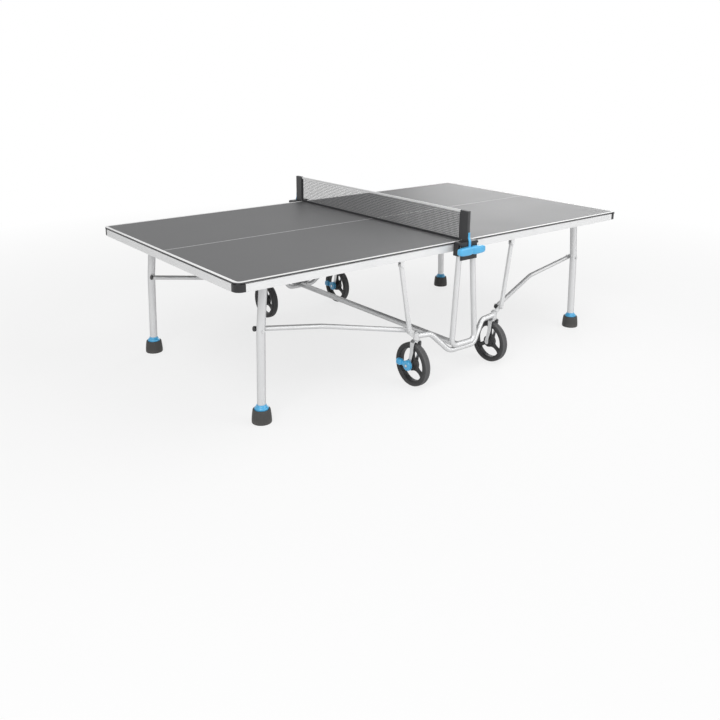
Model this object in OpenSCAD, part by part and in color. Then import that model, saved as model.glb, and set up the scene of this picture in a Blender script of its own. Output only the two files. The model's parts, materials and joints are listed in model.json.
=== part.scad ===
// Folding table-tennis table. Two halves hinge on slide blocks that run down a wheeled centre frame.
// X runs along the table, Y across it, Z up. The origin is on the floor below the middle of the net.
// Shapes are drawn for the right half on the far side (x > 0, y > 0) and mirrored to the other places.

/* [Table top] */
// Length of the playing surface
table_l = 2740; // [2600:10:2900]
// Width of the playing surface
table_w = 1525; // [1425:5:1625]
// Height of the playing surface above the floor
table_h = 760; // [740:1:780]
// Thickness of the top panels
panel_t = 7; // [5:0.5:12]
// Gap between the two halves
half_gap = 4; // [3:0.5:8]
// Radius of the four outer corners
corner_r = 35; // [20:1:44]

/* [Apron frame] */
// Shadow gap between the panel and the apron
shadow_gap = 4; // [2:0.5:6]
// Height of the apron rails
apron_h = 38; // [34:1:44]
// How far the apron face stands behind the panel edge
apron_inset = 1; // [0.5:0.5:3]
// Depth of the apron channel
rail_depth = 24; // [20:1:30]
// Wall of the apron channel
rail_wall = 2.5; // [1.5:0.5:4]
// Width of the strip that carries the panel
seat_w = 17; // [10:1:18]
// Length of each leg of a corner cap
cap_leg = 48; // [46:1:70]
// Wall of a corner cap
cap_wall = 3; // [2:0.5:5]
// Depth that a corner cap's tongues reach into the rails
cap_tongue = 20; // [10:1:40]
// Wall of the cross rails
cross_wall = 2; // [1.5:0.5:3]
// Width of the cross rails beside the net and at the struts
cross_w = 24; // [16:1:28]
// Height of the cross rails beside the net and at the struts
cross_h = 34; // [28:1:38]
// Width of the cross rail that carries the legs
leg_rail_w = 40; // [34:1:60]
// Height of the cross rail that carries the legs
leg_rail_h = 37; // [30:1:38]

/* [Hinges and guides] */
// Depth of the fold pivot below the playing surface
hinge_drop = 33; // [32:0.5:36]
// Radius of the fold pin
hinge_pin_r = 7; // [5:0.5:8]
// Radius of the boss round the fold pin
hinge_boss_r = 13; // [10:0.5:13.5]
// Length of the boss behind the apron web
hinge_boss_l = 15; // [10:1:20]
// Distance of the guide tubes outside the table edge
guide_out = 28.5; // [28:0.5:40]
// Diameter of the guide tubes
guide_d = 30; // [26:1:32]
// Wall of the guide and frame tubes
tube_wall = 2; // [1:0.5:3]
// Half the distance between the tops of a guide's two legs
guide_top_x = 45; // [44:1:55]
// Lean of each guide leg from upright, in degrees
guide_tilt = 4.2; // [3:0.1:6]
// Depth of the guide tops below the playing surface
guide_top_drop = 3; // [1:0.5:5]
// Height of the guide's bottom run above the floor
guide_bottom_z = 195; // [185:1:215]
// Bend radius at the bottom of the guide
guide_bend_r = 34; // [26:1:36]
// Width of a slide block from the guide's axis toward the middle
block_in = 21; // [19:0.5:21]
// Width of a slide block from the guide's axis outward
block_out = 23; // [19:0.5:26]
// Height of a slide block above the fold pivot
block_up = 22.5; // [16:0.5:22.5]
// Height of a slide block below the fold pivot
block_down = 14; // [12:0.5:20]
// Length of the skirt below a slide block
skirt_l = 23; // [10:1:26]
// How far a slide block reaches in from the guide's axis
block_back = 23; // [18:0.5:24]
// How far a slide block reaches out from the guide's axis
block_front = 12; // [8:0.5:14]

/* [Wheeled frame] */
// Half the distance between casters along the table
caster_x = 296; // [270:1:320]
// Distance of the casters inside the table edge
caster_in = 24.5; // [20.5:0.5:62.5]
// Diameter of the frame tubes
frame_d = 30; // [26:1:32]
// Distance of the frame tube's low run inside the guide's axis
frame_in = 12; // [8:1:12]
// Half the width of the frame tube's low run
frame_low_x = 92; // [85:1:110]
// Distance from the middle to the frame tube's shoulder
shoulder_x = 196; // [180:1:240]
// Drop of the frame tube's shoulder below its ends
shoulder_drop = 8; // [3:1:28]
// Rise of the frame tube's ends above the fork crowns
end_rise = 21; // [19:1:23]
// Bend radius of the frame tube
frame_bend_r = 60; // [40:1:80]
// Diameter of the tube that joins the two sides
spine_d = 34; // [30:1:40]
// Height of the tube that joins the two sides
spine_z = 172; // [168:1:176]
// Radius of the caster bosses
boss_r = 16; // [15.5:0.5:20]
// Height of the caster bosses above the frame tube's axis
boss_up = 19; // [16:1:27]
// Position along the table of the pivot that the struts and braces share
pivot_x = 349; // [335:1:365]
// Rise of the pivot that the struts and braces share above the frame tube's ends
pivot_rise = 37; // [27:1:47]
// Thickness of the ear plate at the shared pivot
ear_t = 4; // [3:0.5:4]
// Radius of the ear plate's end
ear_r = 14; // [12:1:18]

/* [Casters] */
// Radius of the wheels
wheel_r = 119.5; // [105:0.5:120]
// Width of the tyres
tyre_w = 44; // [36:1:45]
// Radial thickness of the tyres
tyre_t = 20; // [12:1:26]
// Radial thickness of the rim
rim_t = 8; // [5:1:12]
// Radius of the wheel's centre disc
hub_r = 36; // [28:1:45]
// Width of each spoke
spoke_w = 26; // [16:1:40]
// Distance of the axle behind the swivel axis
trail = 22; // [14:1:22]
// Radius of the wheel axles
axle_r = 5; // [4:0.5:7]
// Radius of the swivel stems
stem_r = 6; // [5:0.5:8]
// Gap between the tyre and the fork crown
crown_gap = 11; // [10:1:14]
// Height of the fork crown
crown_h = 12; // [10:1:20]
// Thickness of the fork arms
arm_t = 4; // [3:0.5:6]
// Gap between a fork arm and the tyre
arm_gap = 3; // [2:0.5:5]
// Radius of the fork arms at the axle
arm_r = 14; // [10:1:18]
// Length of a brake pedal from the axle to its tip circle
pedal_l = 60; // [50:1:110]
// Radius of a brake pedal's hub
pedal_hub_r = 29; // [18:1:32]
// Radius of a brake pedal's tip
pedal_tip_r = 17; // [8:1:20]
// Thickness of a brake pedal
pedal_t = 20; // [8:1:24]
// Rise of a brake pedal's tip above the axle
pedal_rise = 8; // [0:1:20]

/* [Legs and braces] */
// Distance of the leg pivots from the table's ends
leg_inset = 226; // [200:1:260]
// Distance of the legs inside the table edge
leg_in = 152.5; // [112.5:1:202.5]
// Diameter of the legs
leg_d = 42; // [36:1:44]
// Wall of the legs
leg_wall = 1.5; // [1:0.5:3]
// Depth of the leg pivots below the apron
leg_pivot_drop = 21; // [17:1:25]
// Length of leg above its pivot
leg_above = 12; // [8:1:12]
// Radius of the pivot bolts
bolt_r = 5; // [4:0.5:6]
// Outward lean of the leg down to the brace pivot
leg_lean = 19; // [10:1:25]
// Height of the brace pivot on the leg
brace_leg_z = 461; // [430:1:490]
// Further outward lean of the leg down to the foot
foot_lean = 8; // [4:1:14]
// Diameter of the braces
brace_d = 25; // [20:1:28]
// Wall of the braces
brace_wall = 1.5; // [1:0.5:2.5]
// Gap between a leg and its brace
brace_gap = 1.5; // [1:0.5:4]
// Position along the table where a brace bends outward
brace_bend_x = 790; // [700:5:860]
// Distance of a brace's inner end inside the table edge
brace_end_in = 48.5; // [48.5:0.5:62.5]
// Bend radius of the braces
brace_bend_r = 100; // [60:5:150]
// Length of brace beyond each of its pivots
brace_beyond = 18; // [15:1:22]
// Length of the plastic cap on each end of a brace
end_cap_l = 10; // [6:1:12]
// Position of the strut pivots along the table
strut_x = 412; // [390:1:440]
// Depth of the strut pivots below the apron
strut_drop = 25; // [20:0.5:28]
// Half the width of the struts
strut_r = 12; // [9:0.5:12.5]
// Thickness of the struts
strut_t = 12; // [8:0.5:14]

/* [Feet] */
// Radius of a foot at the floor
foot_r = 49; // [44:1:54]
// Radius of a foot near its top
foot_top_r = 42.8; // [41:0.1:44]
// Height of a foot
foot_h = 70; // [60:1:80]
// Radius of the collar above a foot
collar_r = 35; // [31:0.5:36]
// Height of the collar above a foot
collar_h = 27; // [25:1:40]
// Radius of the levelling spindle
spindle_r = 8; // [6:0.5:10]

/* [Net and its posts] */
// Height of the net above the playing surface
net_h = 166; // [150:1:170]
// Gap between the net and the playing surface
net_gap = 4; // [3:0.5:6]
// Thickness of the net
net_t = 3; // [2:0.5:5]
// Height of the tape along the top of the net
net_tape_h = 15; // [10:1:20]
// Thickness of the tape along the top of the net
net_tape_t = 5; // [3:0.5:8]
// Width of the net posts along the table
post_w = 20; // [16:1:30]
// Distance that the net posts reach in over the table
post_in = 14.5; // [10:0.5:20]
// Height of the housing's cap above the playing surface
cap_up = 5; // [3:0.5:8]
// Thickness of the housing's cap
housing_cap_h = 14; // [12:1:14]
// Half the width of the housing's cap
housing_x = 66; // [62:1:80]
// Gap between the housing and the panel edge
housing_gap = 4.5; // [3:0.5:5]
// Depth of the housing across the table
housing_y = 48; // [46:1:60]
// Half the width of the housing's front plate
front_x = 58; // [50:1:62]
// Thickness of the housing's front plate
front_t = 7; // [5:0.5:7]
// Depth of the housing below its cap
housing_drop = 83; // [80:1:95]

/* [Lock handles] */
// Half the width of a lock handle
handle_x = 95; // [80:1:110]
// Height of a lock handle's grips
handle_h = 45; // [35:1:50]
// Depth of a lock handle's grips
handle_t = 32.5; // [25:0.5:36]
// Distance of the grips' top below the playing surface
handle_drop = 18; // [14:1:24]
// Corner radius of the grips
handle_r = 9; // [5:0.5:12]
// Half the width of the handle's upright tongue
tongue_x = 9; // [6:0.5:12]
// Height of the tongue's top above the playing surface
tongue_up = 52; // [40:1:60]
// Thickness of the tongue
tongue_t = 4; // [3:0.5:6]
// Upward travel of a lock handle
handle_travel = 12; // [8:1:14]

/* [Hidden] */
$fn = 48;
run = 0.05;
part_gap = 0.3;
weld_gap = 0.1;
bend_thin = 0.1;

// Levels, from the playing surface down
panel_z = table_h - panel_t;
apron_top = panel_z - shadow_gap;
apron_z = apron_top - apron_h;

// Distances from the centre line
edge_y = table_w / 2;
apron_y = edge_y - apron_inset;
apron_x = table_l / 2 - apron_inset;
flange_y = apron_y - rail_depth;
guide_y = edge_y + guide_out;
frame_y = guide_y - frame_in;
caster_y = edge_y - caster_in;
leg_y = edge_y - leg_in;
brace_end_y = edge_y - brace_end_in;

// Guides and fold pivot
function guide_x(z) = guide_top_x + tan(guide_tilt) * (table_h - guide_top_drop - z);
hinge_z = table_h - hinge_drop;
hinge_x = guide_x(hinge_z);
frame_z = guide_bottom_z - sqrt(pow((guide_d + frame_d) / 2 + weld_gap, 2) - pow(frame_in, 2));

// Casters and the frame tube's ends, from the floor up
axle_z = wheel_r;
crown_top_z = 2 * wheel_r + crown_gap + crown_h;
boss_z = crown_top_z + 0.4;
frame_end_z = crown_top_z + end_rise;
shoulder_z = frame_end_z - shoulder_drop;
boss_top_z = frame_end_z + boss_up;
arm_x = tyre_w / 2 + arm_gap;
nut_h = 8;
nut_r = stem_r + 4;

// Pivots as [x, z]
leg_x = table_l / 2 - leg_inset;
leg_pivot = [leg_x, apron_z - leg_pivot_drop];
brace_pivot = [leg_x + leg_lean, brace_leg_z];
strut_pivot = [strut_x, apron_z - strut_drop];
frame_pivot = [pivot_x, frame_end_z + pivot_rise];

// Struts, ears and braces, from the outside in
strut_y = flange_y + 0.5;
strut_ear_t = 4;
strut_bolt_y = strut_y + strut_t + 2 + strut_ear_t;
inner_ear_y = flange_y - 1.5 - strut_ear_t;
ear_y = strut_y - 0.5 - ear_t;
brace_y = leg_y - leg_d / 2 - brace_gap - brace_d / 2;
brace_slope = (brace_pivot[1] - frame_pivot[1]) / (brace_pivot[0] - frame_pivot[0]);
bolt_head_r = 1.8 * bolt_r;
bolt_head_t = 5;

// Feet
foot_x = brace_pivot[0] + foot_lean;
collar_z = foot_h - 4;
socket_z = collar_z + 6;
leg_end_z = socket_z + part_gap;

// Housing and posts
housing_in = edge_y + housing_gap;
housing_out = housing_in + housing_y;
cap_z = table_h + cap_up - housing_cap_h;
housing_z = cap_z - housing_drop;
web_x = guide_x(cap_z) - block_in - 0.6;
post_y0 = edge_y - post_in;
post_y1 = guide_y + guide_d / 2 + 2;
net_top = table_h + net_h;

// Lock handle's lug, in the slot of the front plate
lug_x = 10;
lug_h = 14;
lug_z = table_h - handle_drop - handle_h / 2 - lug_h / 2;
lug_in = 12;
bar_x = 14;
handle_y = housing_out + 0.5;

// ---- places -------------------------------------------------------------------------------------

// Mirrors a shape from the right half to the left one, and from the far side to the near one
module to_side(left, near) {
    mirror([left ? 1 : 0, 0, 0]) mirror([0, near ? 1 : 0, 0]) children();
}

module both_sides(left) {
    to_side(left, true) children();
    to_side(left, false) children();
}

// Moves a shape drawn round the fold pivot onto a guide leg, upright along the leg
module on_guide() {
    translate([hinge_x, guide_y, hinge_z]) rotate([0, -guide_tilt, 0]) children();
}

// ---- shapes -------------------------------------------------------------------------------------

module along_x(x0, x1) {
    translate([x0, 0, 0]) rotate([90, 0, 90]) linear_extrude(x1 - x0) children();
}

module along_y(y0, y1) {
    translate([0, y1, 0]) rotate([90, 0, 0]) linear_extrude(y1 - y0) children();
}

module box(x0, x1, y0, y1, z0, z1) {
    translate([x0, y0, z0]) cube([x1 - x0, y1 - y0, z1 - z0]);
}

module rod_x(y, z, x0, x1, r) {
    translate([x0, y, z]) rotate([0, 90, 0]) cylinder(h = x1 - x0, r = r);
}

module rod_y(p, y0, y1, r) {
    translate([p[0], y1, p[1]]) rotate([90, 0, 0]) cylinder(h = y1 - y0, r = r);
}

module hex_y(p, y0, y1, r) {
    translate([p[0], y1, p[1]]) rotate([90, 0, 0]) cylinder(h = y1 - y0, r = r, $fn = 6);
}

// Square between two opposite corners
module rect(x0, x1, y0, y1) {
    translate([x0, y0]) square([x1 - x0, y1 - y0]);
}

// Rectangle with four round corners
module round_rect(x0, x1, y0, y1, r) {
    rect(x0 + r, x1 - r, y0, y1);
    rect(x0, x1, y0 + r, y1 - r);
    for (x = [x0 + r, x1 - r], y = [y0 + r, y1 - r]) translate([x, y]) circle(r);
}

// Outline of one half of the table in plan, with round outer corners
module half_outline(x0, x1, y, r) {
    rect(x0, x1 - r, -y, y);
    rect(x0, x1, r - y, y - r);
    for (s = [-1, 1]) translate([x1 - r, s * (y - r)]) circle(r);
}

// Two circles of different radius joined by their outer tangents, centred at p and q
module taper(p, q, rp, rq) {
    d = norm(q - p);
    a = atan2(q[1] - p[1], q[0] - p[0]);
    t = acos((rp - rq) / d);
    translate(p) circle(rp);
    translate(q) circle(rq);
    polygon([
        p + rp * [cos(a - t), sin(a - t)], q + rq * [cos(a - t), sin(a - t)],
        q + rq * [cos(a + t), sin(a + t)], p + rp * [cos(a + t), sin(a + t)]
    ]);
}

// Box-section rail along Y, closed all round and open at its ends
module box_rail(x0, x1, z0, z1) {
    along_y(-flange_y, flange_y) difference() {
        rect(x0, x1, z0, z1);
        rect(x0 + cross_wall, x1 - cross_wall, z0 + cross_wall, z1 - cross_wall);
    }
}

// Channel of the apron with its mouth inward, drawn with the outer face at the given distance
module channel(face) {
    rect(face - rail_wall, face, apron_z, apron_top);
    rect(face - rail_depth, face, apron_z, apron_z + rail_wall);
    rect(face - rail_depth, face, apron_top - rail_wall, apron_top);
    rect(face - rail_depth, face - rail_depth + seat_w, apron_top - rail_wall, panel_z);
}

// Ear that hangs from a rail and rounds off below a pivot
module ear(p, r, z_top, y0, y1) {
    along_y(y0, y1) {
        translate(p) circle(r);
        rect(p[0] - r, p[0] + r, p[1], z_top);
    }
}

// ---- bent tubes ---------------------------------------------------------------------------------

function unit(v) = v / norm(v);
function turn(a, b, c) = acos(unit(b - a) * unit(c - b));
function bend_cut(a, b, c, r) = r * tan(turn(a, b, c) / 2);
function across(a, b, c) = unit(cross(b - a, c - b));
function frame_of(e1, e2, e3, p) = [
    [e1[0], e2[0], e3[0], p[0]], [e1[1], e2[1], e3[1], p[1]], [e1[2], e2[2], e3[2], p[2]], [0, 0, 0, 1]
];

module ring(d, wall) {
    difference() {
        circle(d = d);
        circle(d = d - 2 * wall);
    }
}

// Bends are a little thinner than the straight runs and lap into them, as a bender leaves them

// Straight tube from a to b, with n a direction square to it
module straight_run(a, b, n, d, wall) {
    dir = unit(b - a);
    multmatrix(frame_of(cross(n, dir), n, dir, a)) linear_extrude(norm(b - a)) ring(d, wall);
}

module solid_run(a, b, n, r) {
    dir = unit(b - a);
    multmatrix(frame_of(cross(n, dir), n, dir, a)) cylinder(h = norm(b - a), r = r);
}

module bend(a, b, c, r, d, wall) {
    u = unit(a - b);
    v = unit(c - b);
    centre = b + unit(u + v) * r / cos(turn(a, b, c) / 2);
    e1 = unit(b + u * bend_cut(a, b, c, r) - centre);
    lap = 0.5 / r * 180 / PI;
    multmatrix(frame_of(e1, -u, cross(e1, -u), centre)) rotate(-lap)
        rotate_extrude(angle = turn(a, b, c) + 2 * lap)
            translate([r, 0]) ring(d - 2 * bend_thin, wall - 2 * bend_thin);
}

// Tube through a list of points that lie in one plane, bent at the inner ones
module bent_tube(p, r, d, wall) {
    last = len(p) - 1;
    n = across(p[0], p[1], p[2]);
    for (i = [0 : last - 1]) {
        from = i == 0 ? 0 : bend_cut(p[i - 1], p[i], p[i + 1], r);
        to = i == last - 1 ? 0 : bend_cut(p[i], p[i + 1], p[i + 2], r);
        dir = unit(p[i + 1] - p[i]);
        straight_run(p[i] + dir * from, p[i + 1] - dir * to, n, d, wall);
    }
    for (i = [1 : last - 1]) bend(p[i - 1], p[i], p[i + 1], r, d, wall);
}

// ---- the folding half ---------------------------------------------------------------------------

module top_panel(left) {
    color("dimgray") to_side(left, false) translate([0, 0, panel_z]) linear_extrude(panel_t)
        half_outline(half_gap / 2, table_l / 2, edge_y, corner_r);
}

module side_rail(left, near) {
    web_in = apron_y - rail_wall;
    color("gainsboro") to_side(left, near) {
        difference() {
            union() {
                along_x(half_gap / 2, table_l / 2 - cap_leg) channel(apron_y);
                rod_y([hinge_x, hinge_z], web_in - hinge_boss_l, web_in, hinge_boss_r);
            }
            rod_y([hinge_x, hinge_z], flange_y - 1, edge_y, hinge_pin_r + run);
        }
        ear(strut_pivot, strut_r, apron_z, strut_bolt_y - strut_ear_t, strut_bolt_y);
        rod_y(strut_pivot, inner_ear_y, strut_bolt_y, bolt_r);
        hex_y(strut_pivot, strut_bolt_y, strut_bolt_y + bolt_head_t, bolt_head_r);
    }
}

module end_rail(left) {
    reach = edge_y - cap_leg;
    color("gainsboro") to_side(left, false) along_y(-reach, reach) channel(apron_x);
}

module net_rail(left) {
    x0 = half_gap;
    color("gainsboro") to_side(left, false) box_rail(x0, x0 + cross_w, panel_z - cross_h, panel_z);
}

module strut_rail(left) {
    color("gainsboro") to_side(left, false) {
        box_rail(strut_x - cross_w / 2, strut_x + cross_w / 2, panel_z - cross_h, panel_z);
        for (near = [false, true]) to_side(false, near) difference() {
            ear(strut_pivot, strut_r, panel_z - cross_h + cross_wall, inner_ear_y, inner_ear_y + strut_ear_t);
            rod_y(strut_pivot, inner_ear_y - 1, flange_y, bolt_r + weld_gap);
        }
    }
}

module leg_rail(left) {
    gap = leg_d / 2 + 0.5;
    ear_w = 4;
    rail_z = panel_z - leg_rail_h;
    color("gainsboro") to_side(left, false) {
        box_rail(leg_x - leg_rail_w / 2, leg_x + leg_rail_w / 2, rail_z, panel_z);
        for (near = [false, true]) to_side(false, near) {
            for (y = [leg_y - gap - ear_w, leg_y + gap])
                ear(leg_pivot, leg_rail_w / 2 - 2, rail_z + cross_wall, y, y + ear_w);
            rod_y(leg_pivot, leg_y - gap - ear_w, leg_y + gap + ear_w, bolt_r);
            hex_y(leg_pivot, leg_y + gap + ear_w, leg_y + gap + ear_w + bolt_head_t, bolt_head_r);
        }
    }
}

// Moulded corner: an outer wall with a top and a bottom, and a tongue into each rail
module corner_cap() {
    x1 = apron_x;
    y1 = apron_y;
    x0 = table_l / 2 - cap_leg;
    y0 = edge_y - cap_leg;
    r = corner_r - apron_inset;
    z0 = apron_z + 2;
    fit = rail_wall + part_gap;
    tongue_in = rail_depth - 6;
    difference() {
        translate([0, 0, z0]) linear_extrude(apron_top - z0) intersection() {
            half_outline(x0, x1, y1, r);
            rect(x0, x1, y0, y1);
        }
        box(x0 - 1, x1 - rail_depth, y0 - 1, y1 - rail_depth, z0 - 1, apron_top + 1);
        translate([0, 0, z0 + cap_wall]) linear_extrude(apron_top - z0 - 2 * cap_wall) intersection() {
            half_outline(x0 - 1, x1 - cap_wall, y1 - cap_wall, r - cap_wall);
            rect(x0 - 1, x1, y0 - 1, y1);
        }
    }
    for (s = [0, 1]) {
        tx0 = s == 0 ? x0 - cap_tongue : x1 - tongue_in;
        tx1 = s == 0 ? x1 - 2 * cap_wall : x1 - fit;
        ty0 = s == 0 ? y1 - tongue_in : y0 - cap_tongue;
        ty1 = s == 0 ? y1 - fit : y1 - 2 * cap_wall;
        intersection() {
            box(tx0, tx1, ty0, ty1, apron_z + fit, apron_top - fit);
            translate([0, 0, apron_z]) linear_extrude(apron_h)
                half_outline(x0 - 2 * cap_tongue, x1 - 0.1, y1 - 0.1, r);
        }
    }
    seat_x = x1 - rail_depth + seat_w;
    seat_y = y1 - rail_depth;
    box(x0, seat_x, seat_y, seat_y + seat_w, apron_top - cap_wall, panel_z);
}

module corner_caps(left) {
    color("black") both_sides(left) corner_cap();
}

// ---- slide blocks and struts --------------------------------------------------------------------

module slide_block() {
    bore_r = guide_d / 2 + run;
    skirt_z = -block_down - skirt_l;
    on_guide() difference() {
        box(-block_in, block_out, -block_back, block_front, skirt_z, block_up);
        translate([0, 0, skirt_z - 1]) cylinder(h = block_up - skirt_z + 2, r = bore_r);
        box(-block_in - 1, 0, -bore_r, block_front + 1, skirt_z - 1, -block_down);
    }
    rod_y([hinge_x, hinge_z], apron_y - rail_wall - hinge_boss_l, guide_y - block_back + 2, hinge_pin_r);
}

module slide_blocks(left) {
    color("black") both_sides(left) slide_block();
}

module strut() {
    y1 = strut_y + strut_t;
    difference() {
        along_y(strut_y, y1) taper(frame_pivot, strut_pivot, strut_r, strut_r);
        rod_y(strut_pivot, strut_y - 1, y1 + 1, bolt_r + run);
    }
    hex_y(frame_pivot, y1, y1 + bolt_head_t, bolt_head_r);
}

module struts(left) {
    color("silver") both_sides(left) strut();
}

// ---- legs, braces and feet ----------------------------------------------------------------------

function on_leg(p) = [p[0], leg_y, p[1]];

module leg(left, near) {
    top = on_leg(leg_pivot + unit(leg_pivot - brace_pivot) * leg_above);
    foot = [foot_x, leg_y, leg_end_z];
    leg_bend_r = 200;
    bolt_out = leg_y + leg_d / 2 + 1;
    bolt_in = brace_y - brace_d / 2 - 0.6;
    color("silver") to_side(left, near) {
        difference() {
            bent_tube([top, on_leg(brace_pivot), foot], leg_bend_r, leg_d, leg_wall);
            rod_y(leg_pivot, leg_y - leg_d, leg_y + leg_d, bolt_r + run);
        }
        rod_y(brace_pivot, bolt_in - 1, bolt_out, bolt_r);
        hex_y(brace_pivot, bolt_out - 2, bolt_out + bolt_head_t - 1, bolt_head_r);
        hex_y(brace_pivot, bolt_in - bolt_head_t, bolt_in, bolt_head_r);
    }
}

// Dome that closes the leg's lower end and guides the levelling spindle
module foot_collar() {
    shoulder = 8;
    round_r = collar_h - shoulder;
    leg_foot = [foot_x, leg_y, leg_end_z];
    leg_dir = unit(on_leg(brace_pivot) - leg_foot);
    difference() {
        translate([foot_x, leg_y, collar_z]) rotate_extrude() {
            rect(0, collar_r, 0, shoulder);
            translate([collar_r - round_r, shoulder]) intersection() {
                circle(round_r);
                square(round_r);
            }
            rect(0, collar_r - round_r + 0.01, shoulder, collar_h);
        }
        solid_run(
            leg_foot - leg_dir * part_gap, leg_foot + leg_dir * 2 * collar_h, [0, 1, 0], leg_d / 2 + part_gap
        );
        translate([foot_x, leg_y, 0]) cylinder(h = collar_z + collar_h, r = spindle_r + run);
    }
}

module foot_collars(left) {
    color("royalblue") both_sides(left) foot_collar();
}

module brace(left, near) {
    dir = unit([1, 0, brace_slope]);
    pivot_out = [brace_pivot[0], brace_y, brace_pivot[1]];
    pivot_in = [frame_pivot[0], brace_end_y, frame_pivot[1]];
    elbow = [brace_bend_x, brace_y, frame_pivot[1] + brace_slope * (brace_bend_x - frame_pivot[0])];
    dir_in = unit(pivot_in - elbow);
    tip_out = pivot_out + dir * brace_beyond;
    tip_in = pivot_in + dir_in * brace_beyond;
    cap_r = brace_d / 2 + 0.4;
    n = across(tip_out, elbow, tip_in);
    color("silver") to_side(left, near) {
        difference() {
            bent_tube([tip_out, elbow, tip_in], brace_bend_r, brace_d, brace_wall);
            rod_y(brace_pivot, brace_y - brace_d, brace_y + brace_d, bolt_r + run);
        }
        solid_run(tip_out - dir * end_cap_l, tip_out, n, cap_r);
        solid_run(tip_in - dir_in * end_cap_l, tip_in, n, cap_r);
        rod_y(frame_pivot, brace_end_y - brace_d / 2, ear_y - part_gap, 1.4 * bolt_r);
        hex_y(frame_pivot, brace_end_y - brace_d / 2 - bolt_head_t, brace_end_y - brace_d / 2, bolt_head_r);
    }
}

module foot(left, near) {
    base_round = 5;
    top_round = 5;
    waist_z = 22;
    recess_z = collar_z - part_gap;
    color("black") to_side(left, near) translate([foot_x, leg_y, 0]) {
        difference() {
            rotate_extrude() {
                rect(0, foot_r - base_round, 0, base_round);
                translate([foot_r - base_round, base_round]) intersection() {
                    circle(base_round);
                    rect(0, base_round, -base_round, base_round);
                }
                rect(0, foot_r, base_round, waist_z);
                polygon([
                    [0, waist_z], [foot_r, waist_z], [foot_top_r, foot_h - top_round], [0, foot_h - top_round]
                ]);
                rect(0, foot_top_r - top_round, foot_h - top_round, foot_h);
                translate([foot_top_r - top_round, foot_h - top_round]) intersection() {
                    circle(top_round);
                    square(top_round);
                }
            }
            translate([0, 0, recess_z]) cylinder(h = foot_h, r = collar_r + part_gap);
        }
        translate([0, 0, waist_z]) cylinder(h = collar_z + collar_h + 5 - waist_z, r = spindle_r);
    }
}

// ---- wheeled frame ------------------------------------------------------------------------------

module cross_tube() {
    reach = frame_y - frame_d / 2 + 4;
    color("silver") difference() {
        along_y(-reach, reach) translate([0, spine_z]) ring(spine_d, tube_wall);
        for (s = [-1, 1]) rod_x(s * frame_y, frame_z, -spine_d, spine_d, frame_d / 2 + weld_gap);
    }
}

module frame_tube(near) {
    climb = (shoulder_z - frame_z) / (frame_end_z - frame_z);
    shoulder_y = frame_y + climb * (caster_y - frame_y);
    rise = [
        [frame_low_x, frame_y, frame_z], [shoulder_x, shoulder_y, shoulder_z], [caster_x, caster_y, frame_end_z]
    ];
    flip = [for (i = [2 : -1 : 0]) [-rise[i][0], rise[i][1], rise[i][2]]];
    color("silver") to_side(false, near) difference() {
        bent_tube(concat(flip, rise), frame_bend_r, frame_d, tube_wall);
        for (s = [-1, 1]) translate([s * caster_x, caster_y, boss_z - 1])
            cylinder(h = boss_top_z - boss_z + 2, r = boss_r + weld_gap);
    }
}

module guide_tube(near) {
    top_z = table_h - guide_top_drop;
    x_low = guide_x(guide_bottom_z);
    color("silver") to_side(false, near) bent_tube([
        [-guide_top_x, guide_y, top_z], [-x_low, guide_y, guide_bottom_z],
        [x_low, guide_y, guide_bottom_z], [guide_top_x, guide_y, top_z]
    ], guide_bend_r, guide_d, tube_wall);
}

module caster_bracket() {
    difference() {
        union() {
            translate([caster_x, caster_y, boss_z]) cylinder(h = boss_top_z - boss_z, r = boss_r);
            along_y(ear_y, ear_y + ear_t) taper([caster_x + 6, frame_end_z], frame_pivot, ear_r, ear_r);
        }
        translate([caster_x, caster_y, boss_z - 1]) cylinder(h = boss_top_z, r = stem_r + run);
        translate([caster_x, caster_y, boss_top_z]) cylinder(h = 2 * nut_h, r = nut_r + 1);
    }
}

module caster_brackets() {
    color("dimgray") for (left = [false, true]) both_sides(left) caster_bracket();
}

// ---- housings, posts and net --------------------------------------------------------------------

module post_housing() {
    front_in = housing_out - front_t;
    corner = 8;
    room_x = bar_x + 4;
    room_y = front_in - lug_in - 6;
    slot_top = lug_z + lug_h + handle_travel + part_gap;
    difference() {
        union() {
            box(-housing_x, housing_x, housing_in, housing_out, cap_z, table_h + cap_up);
            box(-web_x, web_x, housing_in, housing_out, housing_z, table_h);
            box(-front_x, front_x, front_in, housing_out, housing_z, table_h);
        }
        for (s = [-1, 1]) {
            translate([s * housing_x, 0, table_h + cap_up]) rotate([0, 45, 0])
                cube([corner, 4 * housing_out, corner], center = true);
            to_side(s < 0, false) on_guide()
                cylinder(h = hinge_drop - guide_top_drop + part_gap, r = guide_d / 2 + run);
        }
        box(-room_x, room_x, room_y, front_in, lug_z - 4, slot_top + 4);
        box(-lug_x - part_gap, lug_x + part_gap, room_y, housing_out + 1, lug_z - part_gap, slot_top);
    }
}

module post_housings() {
    color("black") both_sides(false) post_housing();
}

module net_posts() {
    color("dimgray") both_sides(false)
        translate([0, 0, table_h + cap_up]) linear_extrude(net_h - cap_up)
            round_rect(-post_w / 2, post_w / 2, post_y0, post_y1, 4);
}

module net() {
    reach = post_y0 - part_gap;
    color("gray") box(-net_t / 2, net_t / 2, -reach, reach, table_h + net_gap, net_top - net_tape_h);
}

module net_tape() {
    reach = post_y0 - part_gap;
    color("white") box(-net_tape_t / 2, net_tape_t / 2, -reach, reach, net_top - net_tape_h, net_top);
}

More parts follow.
